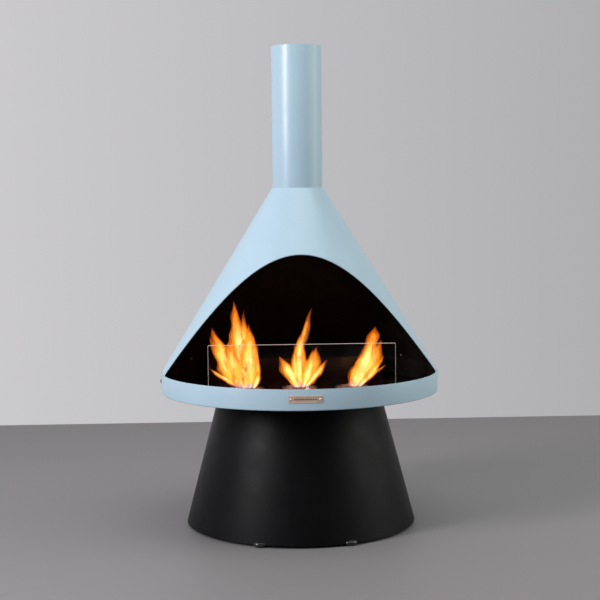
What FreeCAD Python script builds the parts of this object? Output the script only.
import FreeCAD, Part
import math
import os

# Cone-hood chiminea for gel fuel, free standing. Millimetres, +Z up, origin on the
# floor under the flue's axis, the fire opening faces -Y.

V = FreeCAD.Vector
Z_AXIS = V(0, 0, 1)

# ---- driving dimensions -------------------------------------------------------------
HEARTH_R = 332.5            # outside radius of the blue band round the hearth
TOTAL_H = 1143.0            # floor to the top of the flue
BAND_BOTTOM = 322.0         # underside of the band
BAND_TOP = 370.0            # top edge of the band
SHEET = 1.2                 # steel sheet of the hood, band, flue, tray and well

# pedestal
BASE_SHEET = 1.5            # steel sheet of the pedestal
BASE_EDGE_Z = 6.0           # gap under the pedestal's lower edge
BASE_FOOT_R = 276.0         # outside radius at the lower edge
BASE_TOP_R = 193.5          # outside radius at the top
TOP_PLATE_T = 3.0           # plate that closes the pedestal
BOTTOM_RING_T = 2.5         # flat ring inside the lower edge
BOTTOM_RING_INNER_R = 236.0
FOOT_ANGLE = 22.5           # feet, measured from the front and from the back
FOOT_RING_R = 265.0         # radius that the feet's centres stand on
FOOT_R = 17.5               # a foot is a squashed ball with a flat underside
FOOT_HALF_H = 9.0           # half its height
FOOT_MID_Z = 7.0            # height of its widest section

# hearth
FLANGE_INNER_R = 318.0      # inner edge of the band's bottom flange
BAND_BEND_R = 3.0           # outside radius of the band's lower bend
FLOOR_R = 329.0             # hearth floor disc
FLOOR_T = 1.8
STUD_R = 4.0                # weld studs under the hearth floor, M8
STUD_RING_R = 165.0         # radius that the studs stand on
STUD_LENGTH = 22.0

# hood
CONE_TOP_Z = 808.5          # upper edge of the cone
CONE_APEX_Z = 908.0         # where the cone's outside would close to a point
CONE_SLOPE = 0.6174         # radius gained per millimetre of height
SKIRT_R = 331.0             # outside radius of the skirt inside the band
SKIRT_BOTTOM = 336.0        # lower edge of the skirt, whose upper edge is the opening's
SKIRT_BEND_R = 4.0          # outside radius of the bend between cone and skirt

# fire opening: a leaning plane cuts the front off the cone
CUT_APEX_Z = 656.6          # top of the opening
CUT_APEX_Y = -155.2
CUT_LEAN = 0.27             # how far the plane comes forward per millimetre of height
CUT_BOTTOM = 369.5          # lower edge of the opening, just under the band's edge
CUT_CORNER_R = 5.0          # rounded lower corner of the opening

# flue
FLUE_R = 59.75              # outside radius of the flue pipe
FLUE_BOTTOM = 747.2         # lower end of the pipe, inside the collar
COLLAR_GAP = 0.35           # running gap between pipe and collar
COLLAR_TOP = 804.0
COLLAR_BOTTOM = 745.0
COLLAR_STOP_T = 2.0         # ring that the pipe stands on
COLLAR_FLANGE_Z = 790.0     # flange that joins the collar to the cone

# burner insert
TRAY_HALF_X = 223.0
TRAY_HALF_Y = 195.0
TRAY_CORNER_R = 12.0
CAN_PITCH = 129.0           # distance between the fuel cans
CAN_HOLE_R = 44.5           # holes in the tray
WELL_BOTTOM = 233.8         # underside of the can well
WELL_HALF_X = 178.2         # outside half length of the can well
WELL_HALF_Y = 49.2          # outside half width, and radius of its round ends
WELL_CUTOUT_GAP = 1.8       # gap round the well in the hearth floor
PLATE_CUTOUT_GAP = 4.8      # gap round the well in the pedestal's top plate

# upright panel behind the burners
PANEL_HALF_X = 220.0
PANEL_Y = 183.5             # front face
PANEL_T = 1.5
PANEL_TOP = 376.0
PANEL_FOOT = 10.0           # depth of its foot flange
PANEL_CORNER_R = 8.0

# glass wind guard and its clips
GLASS_HALF_X = 216.0
GLASS_T = 5.0
GLASS_Y = -165.0            # middle of the glass
GLASS_H = 122.0
GLASS_CORNER_R = 5.0
CLIP_X = 150.0
CLIP_WIDTH = 34.0
CLIP_WALL = 2.0
CLIP_H = 18.0
CLIP_GAP = 0.4              # gap on each side of the glass
REST_GAP = 0.2              # gap under a piece that lifts off

# fuel cans
CAN_R = 43.0
CAN_H = 91.8
CAN_WALL = 0.8
CAN_MOUTH_R = 40.0          # opening in the can's top
CAN_BEAD_R = 1.3            # rolled rims
GEL_DEPTH = 12.0            # the gel's surface under the rim

# badge
BADGE_HALF_W = 37.0
BADGE_Z = (340.5, 355.5)
BADGE_T = 1.5
BADGE_CORNER_R = 2.0
RIVET_X = 32.5              # rivets, sideways from the badge's middle

# screws
HOOD_SCREW_Z = 347.0
HOOD_SCREW_ANGLES = (-90.0, 90.0, 180.0)    # from the front, seen from above
HOOD_RIVET_ANGLES = (-124.5, 124.5)
HOOD_RIVET_Z = 379.0
TRAY_SCREWS = ((-205.0, -182.0), (205.0, -182.0), (-205.0, 190.0), (205.0, 190.0))

# ---- worked out from the driving dimensions -----------------------------------------
FLOOR_BOTTOM = BAND_BOTTOM + SHEET
FLOOR_TOP = FLOOR_BOTTOM + FLOOR_T
TRAY_TOP = FLOOR_TOP + SHEET
PLATE_BOTTOM = FLOOR_BOTTOM - TOP_PLATE_T
BASE_SLOPE = (BASE_FOOT_R - BASE_TOP_R) / (PLATE_BOTTOM - BASE_EDGE_Z)
BASE_WALL = BASE_SHEET * math.hypot(1.0, BASE_SLOPE)     # measured level
CONE_WALL = SHEET * math.hypot(1.0, CONE_SLOPE)          # measured level
SCREW_TOP_R = 335.8         # every head on the band ends at this radius
CAN_NAMES = (("left", -CAN_PITCH), ("middle", 0.0), ("right", CAN_PITCH))


# ---- helpers ------------------------------------------------------------------------
def save(name, shape):
    """Write one node's STEP file."""
    shape.exportStep("parts/%s.step" % name)


def spot(radius, angle, z):
    """A point at an angle from the front (-Y), positive towards +X."""
    a = math.radians(angle)
    return V(radius * math.sin(a), -radius * math.cos(a), z)


def lathe(points):
    """Turn a closed outline of (radius, z) points about the flue's axis."""
    corners = [V(r, 0, z) for r, z in points]
    wire = Part.makePolygon(corners + corners[:1])
    return Part.Face(wire).revolve(V(0, 0, 0), Z_AXIS, 360)


def lathe_edges(edges):
    """Turn a closed outline of lines and arcs about the flue's axis."""
    wire = Part.Wire([edge.toShape() for edge in edges])
    return Part.Face(wire).revolve(V(0, 0, 0), Z_AXIS, 360)


def line(a, b):
    """A straight stretch of a lathe outline."""
    return Part.LineSegment(V(a[0], 0, a[1]), V(b[0], 0, b[1]))


def arc(a, mid, b):
    """A round stretch of a lathe outline through three points."""
    return Part.Arc(V(a[0], 0, a[1]), V(mid[0], 0, mid[1]), V(b[0], 0, b[1]))


def disc(radius, z, height, x=0.0, y=0.0):
    """An upright cylinder."""
    return Part.makeCylinder(radius, height, V(x, y, z), Z_AXIS)


def box(x0, x1, y0, y1, z0, z1):
    """A box between two corners."""
    return Part.makeBox(x1 - x0, y1 - y0, z1 - z0, V(x0, y0, z0))


def round_upright_edges(shape, radius):
    """Round the edges that run along Z over the shape's whole height."""
    height = shape.BoundBox.ZLength
    edges = [e for e in shape.Edges
             if e.BoundBox.ZLength > 0.99 * height and e.BoundBox.DiagonalLength < 1.01 * height]
    return shape.makeFillet(radius, edges)


def stadium(half_x, half_y, z, height):
    """A slab with half-round ends on the X axis."""
    reach = half_x - half_y
    middle = box(-reach, reach, -half_y, half_y, z, z + height)
    ends = [disc(half_y, z, height, x=side * reach) for side in (-1, 1)]
    return middle.fuse(ends).removeSplitter()


def along(shape, position, direction):
    """Place a shape made on +Z so that its +Z points along a direction."""
    turn = FreeCAD.Rotation(Z_AXIS, direction)
    placed = shape.copy()
    placed.Placement = FreeCAD.Placement(position, turn)
    return placed


def button_screw(head_r, head_h, shank_r, shank_length):
    """A domed screw: head above z=0, shank below, a hexagon socket in the head."""
    ball_r = (head_r ** 2 + head_h ** 2) / (2 * head_h)
    dome = Part.makeSphere(ball_r, V(0, 0, head_h - ball_r)).common(disc(head_r, 0, head_h))
    socket = hexagon(head_r * 0.8, head_h * 0.45, head_h)
    shank = disc(shank_r, -shank_length, shank_length + 0.1)
    return dome.fuse(shank).cut(socket).removeSplitter()


def hexagon(across_flats, z0, z1):
    """An upright hexagonal bar."""
    corner_r = across_flats / math.sqrt(3)
    corners = [V(corner_r * math.cos(math.radians(60 * i)),
                 corner_r * math.sin(math.radians(60 * i)), z0) for i in range(7)]
    return Part.Face(Part.makePolygon(corners)).extrude(V(0, 0, z1 - z0))


def nut(across_flats, height, bore_r):
    """A hexagon nut standing on z=0, its upper corners turned off."""
    body = hexagon(across_flats, 0, height)
    corner_r = across_flats / math.sqrt(3)
    turned = Part.makeCone(corner_r + height, corner_r * 0.93, height + corner_r * 0.04)
    return body.common(turned).cut(disc(bore_r, -1, height + 2))


# ---- pedestal -----------------------------------------------------------------------
def base_radius(z):
    """Outside radius of the pedestal at a height."""
    return BASE_FOOT_R - (z - BASE_EDGE_Z) * BASE_SLOPE


def base_shell():
    """Rolled sheet cone, open at both ends."""
    outline = [(BASE_FOOT_R, BASE_EDGE_Z), (BASE_TOP_R, PLATE_BOTTOM),
               (BASE_TOP_R - BASE_WALL, PLATE_BOTTOM), (BASE_FOOT_R - BASE_WALL, BASE_EDGE_Z)]
    return lathe(outline)


def base_bottom_ring():
    """Flat ring welded inside the pedestal's lower edge."""
    top = BASE_EDGE_Z + BOTTOM_RING_T
    outline = [(BOTTOM_RING_INNER_R, BASE_EDGE_Z),
               (base_radius(BASE_EDGE_Z) - BASE_WALL, BASE_EDGE_Z),
               (base_radius(top) - BASE_WALL, top), (BOTTOM_RING_INNER_R, top)]
    return lathe(outline)


def base_top_plate():
    """Plate on the pedestal, with the well's cut-out and the stud holes."""
    plate = disc(BASE_TOP_R, PLATE_BOTTOM, TOP_PLATE_T)
    cutout = stadium(WELL_HALF_X + PLATE_CUTOUT_GAP, WELL_HALF_Y + PLATE_CUTOUT_GAP,
                     PLATE_BOTTOM - 1, TOP_PLATE_T + 2)
    holes = [disc(STUD_R + 0.5, PLATE_BOTTOM - 1, TOP_PLATE_T + 2, p.x, p.y) for p in stud_spots()]
    return plate.cut([cutout] + holes)


def foot(angle, neighbours):
    """Moulded rubber foot that grips the pedestal's lower edge."""
    ellipse = Part.Ellipse(V(0, 0, 0), FOOT_R, FOOT_HALF_H)
    half = Part.ArcOfEllipse(ellipse, -math.pi / 2, math.pi / 2).toShape()
    middle = Part.makeLine(V(0, FOOT_HALF_H, 0), V(0, -FOOT_HALF_H, 0))
    blob = Part.Face(Part.Wire([half, middle])).revolve(V(0, 0, 0), V(0, 1, 0), 360)
    blob.rotate(V(0, 0, 0), V(1, 0, 0), 90)
    blob.translate(V(0, 0, FOOT_MID_Z))
    blob = blob.common(disc(FOOT_R + 1, 0, 2 * FOOT_HALF_H))
    blob.translate(V(0, -FOOT_RING_R, 0))
    blob.rotate(V(0, 0, 0), Z_AXIS, angle)
    pieces = blob.cut(neighbours).Solids
    return min(pieces, key=lambda piece: piece.BoundBox.ZMin)   # not the cap above the ring


# ---- hearth -------------------------------------------------------------------------
def stud_spots():
    """The four weld studs, clear of the can well."""
    return [spot(STUD_RING_R, angle, FLOOR_BOTTOM) for angle in (45, 135, 225, 315)]


def hearth_band():
    """Rolled band with a bent-in bottom flange."""
    outer, inner = HEARTH_R, HEARTH_R - SHEET
    bend, turn = BAND_BEND_R, BAND_BEND_R * (1 - math.sqrt(0.5))
    inner_bend = bend - SHEET
    inner_turn = inner_bend * (1 - math.sqrt(0.5))
    low, high = BAND_BOTTOM, BAND_BOTTOM + SHEET
    outline = [
        line((inner, BAND_TOP), (outer, BAND_TOP)),
        line((outer, BAND_TOP), (outer, low + bend)),
        arc((outer, low + bend), (outer - turn, low + turn), (outer - bend, low)),
        line((outer - bend, low), (FLANGE_INNER_R, low)),
        line((FLANGE_INNER_R, low), (FLANGE_INNER_R, high)),
        line((FLANGE_INNER_R, high), (inner - inner_bend, high)),
        arc((inner - inner_bend, high), (inner - inner_turn, high + inner_turn),
            (inner, high + inner_bend)),
        line((inner, high + inner_bend), (inner, BAND_TOP)),
    ]
    band = lathe_edges(outline)
    return band.cut(hood_screw_holes() + badge_rivet_holes())


def hearth_floor():
    """Disc that lies on the band's flange."""
    plate = disc(FLOOR_R, FLOOR_BOTTOM, FLOOR_T)
    cutout = stadium(WELL_HALF_X + WELL_CUTOUT_GAP, WELL_HALF_Y + WELL_CUTOUT_GAP,
                     FLOOR_BOTTOM - 1, FLOOR_T + 2)
    return plate.cut([cutout] + tray_screw_holes())


def hearth_studs():
    """Studs welded under the hearth floor."""
    return [disc(STUD_R, FLOOR_BOTTOM - STUD_LENGTH, STUD_LENGTH, p.x, p.y) for p in stud_spots()]


def stud_washers():
    """Washers under the pedestal's top plate."""
    thickness = 1.6
    washer = disc(8.0, 0, thickness).cut(disc(STUD_R + 0.3, -1, thickness + 2))
    return [along(washer, V(p.x, p.y, PLATE_BOTTOM - thickness), Z_AXIS) for p in stud_spots()]


def stud_nuts():
    """Nuts that hold the hearth on the pedestal."""
    height, washer = 6.5, 1.6
    piece = nut(13.0, height, STUD_R + 0.05)
    return [along(piece, V(p.x, p.y, PLATE_BOTTOM - washer), V(0, 0, -1)) for p in stud_spots()]


# ---- hood ---------------------------------------------------------------------------
def cone_radius(z):
    """Outside radius of the hood's cone at a height."""
    return CONE_SLOPE * (CONE_APEX_Z - z)


def cone_height(radius):
    """Height at which the cone's outside has a radius."""
    return CONE_APEX_Z - radius / CONE_SLOPE


def hood_cone():
    """Cone with a short turned-down lip, the fire opening cut out of its front."""
    inner_skirt = SKIRT_R - SHEET
    outline = [(cone_radius(CONE_TOP_Z), CONE_TOP_Z), (SKIRT_R, cone_height(SKIRT_R)),
               (SKIRT_R, CUT_BOTTOM), (inner_skirt, CUT_BOTTOM),
               (inner_skirt, cone_height(inner_skirt + CONE_WALL)),
               (cone_radius(CONE_TOP_Z) - CONE_WALL, CONE_TOP_Z)]
    shell = lathe(outline)
    bend = [e for e in shell.Edges if e.BoundBox.ZLength < 0.01
            and abs(e.BoundBox.XLength - 2 * SKIRT_R) < 0.01
            and abs(e.BoundBox.ZMin - cone_height(SKIRT_R)) < 0.01]
    shell = shell.makeFillet(SKIRT_BEND_R, bend)
    pipe_room = disc(FLUE_R + COLLAR_GAP, COLLAR_BOTTOM, CONE_TOP_Z)
    shell = shell.cut([fire_opening(), pipe_room])
    return shell.cut(hood_rivet_holes())


def hood_skirt():
    """Rolled ring, butt-welded under the cone's lip, that stands inside the band."""
    height = CUT_BOTTOM - SKIRT_BOTTOM
    ring = disc(SKIRT_R, SKIRT_BOTTOM, height).cut(disc(SKIRT_R - SHEET, SKIRT_BOTTOM - 1, height + 2))
    return ring.cut(hood_screw_holes() + badge_rivet_holes())


def fire_opening():
    """Everything in front of the leaning plane, with a rounded lower corner."""
    def plane_y(z):
        return CUT_APEX_Y + CUT_LEAN * (CUT_APEX_Z - z)

    front_y = -HEARTH_R - 60
    top_z = CUT_APEX_Z + 40
    lean = math.atan(CUT_LEAN)
    # centre of the corner's arc, tangent to the plane and to the lower edge
    centre_z = CUT_BOTTOM + CUT_CORNER_R
    centre_y = plane_y(centre_z) - CUT_CORNER_R / math.cos(lean)
    touch_y = centre_y + CUT_CORNER_R * math.cos(lean)
    touch_z = centre_z + CUT_CORNER_R * math.sin(lean)
    half_way = (lean - math.pi / 2) / 2
    mid = V(0, centre_y + CUT_CORNER_R * math.cos(half_way),
            centre_z + CUT_CORNER_R * math.sin(half_way))
    low = V(0, centre_y, CUT_BOTTOM)
    touch = V(0, touch_y, touch_z)
    high = V(0, plane_y(top_z), top_z)
    far_high, far_low = V(0, front_y, top_z), V(0, front_y, CUT_BOTTOM)
    edges = [Part.Arc(low, mid, touch), Part.LineSegment(touch, high),
             Part.LineSegment(high, far_high), Part.LineSegment(far_high, far_low),
             Part.LineSegment(far_low, low)]
    side = Part.Face(Part.Wire([edge.toShape() for edge in edges]))
    wide = 2 * HEARTH_R + 60
    return side.extrude(V(wide, 0, 0)).translated(V(-wide / 2, 0, 0))


def hood_screw_holes():
    """Holes through band and skirt."""
    return [along(disc(3.3, -8, 16), spot(HEARTH_R, angle, HOOD_SCREW_Z), spot(1, angle, 0))
            for angle in HOOD_SCREW_ANGLES]


def hood_screws():
    """Screws through the band into the skirt's nuts."""
    screw = button_screw(5.0, SCREW_TOP_R - HEARTH_R, 3.0, 14.0)
    return [along(screw, spot(HEARTH_R, angle, HOOD_SCREW_Z), spot(1, angle, 0))
            for angle in HOOD_SCREW_ANGLES]


def hood_nuts():
    """Nuts behind the skirt."""
    piece = nut(10.0, 5.0, 3.05)
    seat = SKIRT_R - SHEET - 0.3
    return [along(piece, spot(seat, angle, HOOD_SCREW_Z), spot(-1, angle, 0))
            for angle in HOOD_SCREW_ANGLES]


def hood_rivet_frame(angle):
    """Position on the cone's outside and the outward direction there."""
    slope = math.atan(CONE_SLOPE)
    outward = spot(math.cos(slope), angle, math.sin(slope))
    return spot(cone_radius(HOOD_RIVET_Z), angle, HOOD_RIVET_Z), outward


def hood_rivet_holes():
    """Holes in the cone for the blind rivets."""
    return [along(disc(2.5, -4, 8), *hood_rivet_frame(angle)) for angle in HOOD_RIVET_ANGLES]


def hood_rivets():
    """Blind rivets through the cone, above the band."""
    outside = Part.makeSphere(6.0, V(0, 0, -4.7)).common(disc(4.5, 0, 3))
    shank = disc(2.4, -SHEET - 0.5, SHEET + 0.6)
    inside = disc(4.0, -SHEET - 2.2, 2.1)
    rivet = outside.fuse([shank, inside]).removeSplitter()
    return [along(rivet, *hood_rivet_frame(angle)) for angle in HOOD_RIVET_ANGLES]


# ---- flue ---------------------------------------------------------------------------
def flue_pipe():
    """Straight pipe, open at both ends."""
    height = TOTAL_H - FLUE_BOTTOM
    return disc(FLUE_R, FLUE_BOTTOM, height).cut(disc(FLUE_R - SHEET, FLUE_BOTTOM - 1, height + 2))


def flue_collar():
    """Sleeve inside the cone's top that the pipe stands in."""
    inner = FLUE_R + COLLAR_GAP
    outer = inner + SHEET
    stop_r = FLUE_R - SHEET + 0.1
    flange_low, flange_high = COLLAR_FLANGE_Z, COLLAR_FLANGE_Z + SHEET
    contact = 0.05
    outline = [
        (stop_r, COLLAR_BOTTOM), (outer, COLLAR_BOTTOM), (outer, flange_low),
        (cone_radius(flange_low) - CONE_WALL - contact, flange_low),
        (cone_radius(flange_high) - CONE_WALL - contact, flange_high),
        (outer, flange_high), (outer, COLLAR_TOP), (inner, COLLAR_TOP),
        (inner, COLLAR_BOTTOM + COLLAR_STOP_T), (stop_r, COLLAR_BOTTOM + COLLAR_STOP_T),
    ]
    return lathe(outline)


# ---- burner insert ------------------------------------------------------------------
def burner_tray():
    """Plate with a hole for each fuel can."""
    plate = box(-TRAY_HALF_X, TRAY_HALF_X, -TRAY_HALF_Y, TRAY_HALF_Y, FLOOR_TOP, TRAY_TOP)
    plate = round_upright_edges(plate, TRAY_CORNER_R)
    holes = [disc(CAN_HOLE_R, FLOOR_TOP - 1, SHEET + 2, x) for _, x in CAN_NAMES]
    return plate.cut(holes + tray_screw_holes())


def can_well():
    """Deep pan under the tray that the cans stand in."""
    height = FLOOR_TOP - WELL_BOTTOM
    outside = stadium(WELL_HALF_X, WELL_HALF_Y, WELL_BOTTOM, height)
    inside = stadium(WELL_HALF_X - SHEET, WELL_HALF_Y - SHEET, WELL_BOTTOM + SHEET, height)
    return outside.cut(inside)


def tray_screw_holes():
    """Holes through tray, panel foot and hearth floor."""
    return [disc(2.3, FLOOR_BOTTOM - 1, 8, x, y) for x, y in TRAY_SCREWS]


def tray_screws():
    """Front pair on the tray, rear pair on the back panel's foot."""
    pieces = []
    for x, y in TRAY_SCREWS:
        seat = TRAY_TOP + (PANEL_T if y > 0 else 0.0)
        screw = button_screw(4.2, 2.4, 2.0, seat - FLOOR_BOTTOM + 5.0)
        pieces.append(along(screw, V(x, y, seat), Z_AXIS))
    return pieces


def tray_nuts():
    """Nuts under the hearth floor."""
    piece = nut(7.0, 3.2, 2.05)
    return [along(piece, V(x, y, FLOOR_BOTTOM), V(0, 0, -1)) for x, y in TRAY_SCREWS]


def burner_back_panel():
    """Upright panel behind the burners, bent from one sheet with its foot."""
    upright = box(-PANEL_HALF_X, PANEL_HALF_X, PANEL_Y, PANEL_Y + PANEL_T, TRAY_TOP, PANEL_TOP)
    corners = [e for e in upright.Edges
               if abs(e.BoundBox.YLength - PANEL_T) < 0.01 and e.BoundBox.ZMin > PANEL_TOP - 1]
    upright = upright.makeFillet(PANEL_CORNER_R, corners)
    foot_plate = box(-PANEL_HALF_X, PANEL_HALF_X, PANEL_Y, PANEL_Y + PANEL_FOOT,
                     TRAY_TOP, TRAY_TOP + PANEL_T)
    return upright.fuse(foot_plate).removeSplitter().cut(tray_screw_holes())


# ---- glass guard --------------------------------------------------------------------
def glass_guard():
    """Toughened glass pane with rounded corners and seamed edges."""
    low = TRAY_TOP + CLIP_WALL + REST_GAP
    pane = box(-GLASS_HALF_X, GLASS_HALF_X, GLASS_Y - GLASS_T / 2, GLASS_Y + GLASS_T / 2,
               low, low + GLASS_H)
    corners = [e for e in pane.Edges if abs(e.BoundBox.YLength - GLASS_T) < 0.01]
    pane = pane.makeFillet(GLASS_CORNER_R, corners)
    rims = [e for e in pane.Edges if e.BoundBox.YLength < 0.01]
    return pane.makeChamfer(0.6, rims)


def glass_clip(x):
    """Bent clip, open upwards, that the glass drops into."""
    slot_half = GLASS_T / 2 + CLIP_GAP
    half_y = slot_half + CLIP_WALL
    block = box(x - CLIP_WIDTH / 2, x + CLIP_WIDTH / 2, GLASS_Y - half_y, GLASS_Y + half_y,
                TRAY_TOP, TRAY_TOP + CLIP_H)
    slot = box(x - CLIP_WIDTH, x + CLIP_WIDTH, GLASS_Y - slot_half, GLASS_Y + slot_half,
               TRAY_TOP + CLIP_WALL, TRAY_TOP + CLIP_H + 1)
    clip = block.cut(slot)
    lips = [e for e in clip.Edges if abs(e.BoundBox.YLength - CLIP_WALL) < 0.01
            and e.BoundBox.ZMin > TRAY_TOP + CLIP_H - 0.01]
    return clip.makeFillet(3.0, lips)


# ---- fuel cans ----------------------------------------------------------------------
def fuel_can(x):
    """Steel can with rolled rims and a round mouth."""
    low = WELL_BOTTOM + SHEET + REST_GAP
    high = low + CAN_H
    bead, wall = CAN_BEAD_R, CAN_WALL
    outline = [(0, low + bead), (CAN_R - wall - bead, low + bead), (CAN_R - wall - bead, low),
               (CAN_R, low), (CAN_R, high), (CAN_MOUTH_R, high), (CAN_MOUTH_R, high - bead * 2),
               (CAN_R - wall, high - bead * 3), (CAN_R - wall, low + bead + wall), (0, low + bead + wall)]
    can = lathe(outline)
    rims = [e for e in can.Edges if e.BoundBox.ZLength < 0.01
            and abs(e.BoundBox.XLength - 2 * CAN_R) < 0.01]
    return can.makeFillet(0.7, rims).translated(V(x, 0, 0))


def fuel_gel(x):
    """The gel fill, level under the rim."""
    low = WELL_BOTTOM + SHEET + REST_GAP + CAN_BEAD_R + CAN_WALL
    high = WELL_BOTTOM + SHEET + REST_GAP + CAN_H - GEL_DEPTH
    return disc(CAN_R - CAN_WALL - 0.05, low, high - low, x)


# ---- badge --------------------------------------------------------------------------
def badge_plate():
    """Plain plate bent round the front of the band."""
    inner, outer = HEARTH_R + 0.05, HEARTH_R + 0.05 + BADGE_T
    low, high = BADGE_Z
    ring = disc(outer, low, high - low).cut(disc(inner, low - 1, high - low + 2))
    block = box(-BADGE_HALF_W, BADGE_HALF_W, -outer - 5, -inner + 10, low, high)
    corners = [e for e in block.Edges if e.BoundBox.XLength < 0.01 and e.BoundBox.ZLength < 0.01]
    block = block.makeFillet(BADGE_CORNER_R, corners)
    return ring.common(block).cut(badge_rivet_holes())


def badge_rivet_spots():
    """Where the two rivets sit, and their outward directions."""
    angle = math.degrees(math.asin(RIVET_X / HEARTH_R))
    middle = sum(BADGE_Z) / 2
    return [(spot(HEARTH_R, a, middle), spot(1, a, 0)) for a in (-angle, angle)]


def badge_rivet_holes():
    """Holes through badge, band and skirt."""
    return [along(disc(1.3, -8, 14), *place) for place in badge_rivet_spots()]


def badge_rivets():
    """Small domed rivets, their tops level with the screws' heads in front."""
    lift = 0.05 + BADGE_T
    angle = math.asin(RIVET_X / HEARTH_R)
    head_h = SCREW_TOP_R / math.cos(angle) - HEARTH_R - lift - 0.2
    head_r = 2.6
    ball_r = (head_r ** 2 + head_h ** 2) / (2 * head_h)
    dome = Part.makeSphere(ball_r, V(0, 0, lift + head_h - ball_r))
    dome = dome.common(disc(head_r, lift, head_h))
    tail_top = SKIRT_R - SHEET - HEARTH_R - 0.1
    shank = disc(1.2, tail_top - 0.5, lift - tail_top + 0.6)
    tail = disc(2.2, tail_top - 1.2, 1.2)
    rivet = dome.fuse([shank, tail]).removeSplitter()
    return [along(rivet, *place) for place in badge_rivet_spots()]


# ---- build --------------------------------------------------------------------------
def main():
    """Make every node and write it."""
    os.makedirs("parts", exist_ok=True)
    shell, ring = base_shell(), base_bottom_ring()
    nodes = {
        "base_shell": shell,
        "base_bottom_ring": ring,
        "base_top_plate": base_top_plate(),
        "hearth_band": hearth_band(),
        "hearth_floor": hearth_floor(),
        "hearth_studs": Part.makeCompound(hearth_studs()),
        "stud_washers": Part.makeCompound(stud_washers()),
        "stud_nuts": Part.makeCompound(stud_nuts()),
        "hood_cone": hood_cone(),
        "hood_skirt": hood_skirt(),
        "hood_screws": Part.makeCompound(hood_screws()),
        "hood_nuts": Part.makeCompound(hood_nuts()),
        "hood_rivets": Part.makeCompound(hood_rivets()),
        "flue_collar": flue_collar(),
        "flue_pipe": flue_pipe(),
        "burner_tray": burner_tray(),
        "can_well": can_well(),
        "burner_back_panel": burner_back_panel(),
        "tray_screws": Part.makeCompound(tray_screws()),
        "tray_nuts": Part.makeCompound(tray_nuts()),
        "glass_clip_left": glass_clip(-CLIP_X),
        "glass_clip_right": glass_clip(CLIP_X),
        "glass_guard": glass_guard(),
        "badge_plate": badge_plate(),
        "badge_rivets": Part.makeCompound(badge_rivets()),
    }
    feet = {"foot_front_left": -FOOT_ANGLE, "foot_front_right": FOOT_ANGLE,
            "foot_rear_left": FOOT_ANGLE - 180, "foot_rear_right": 180 - FOOT_ANGLE}
    for name, angle in feet.items():
        nodes[name] = foot(angle, [shell, ring])
    for side, x in CAN_NAMES:
        nodes["fuel_can_" + side] = fuel_can(x)
        nodes["fuel_gel_" + side] = fuel_gel(x)
    for name, shape in nodes.items():
        if not shape.isValid():
            print("not valid:", name)
        save(name, shape)


main()
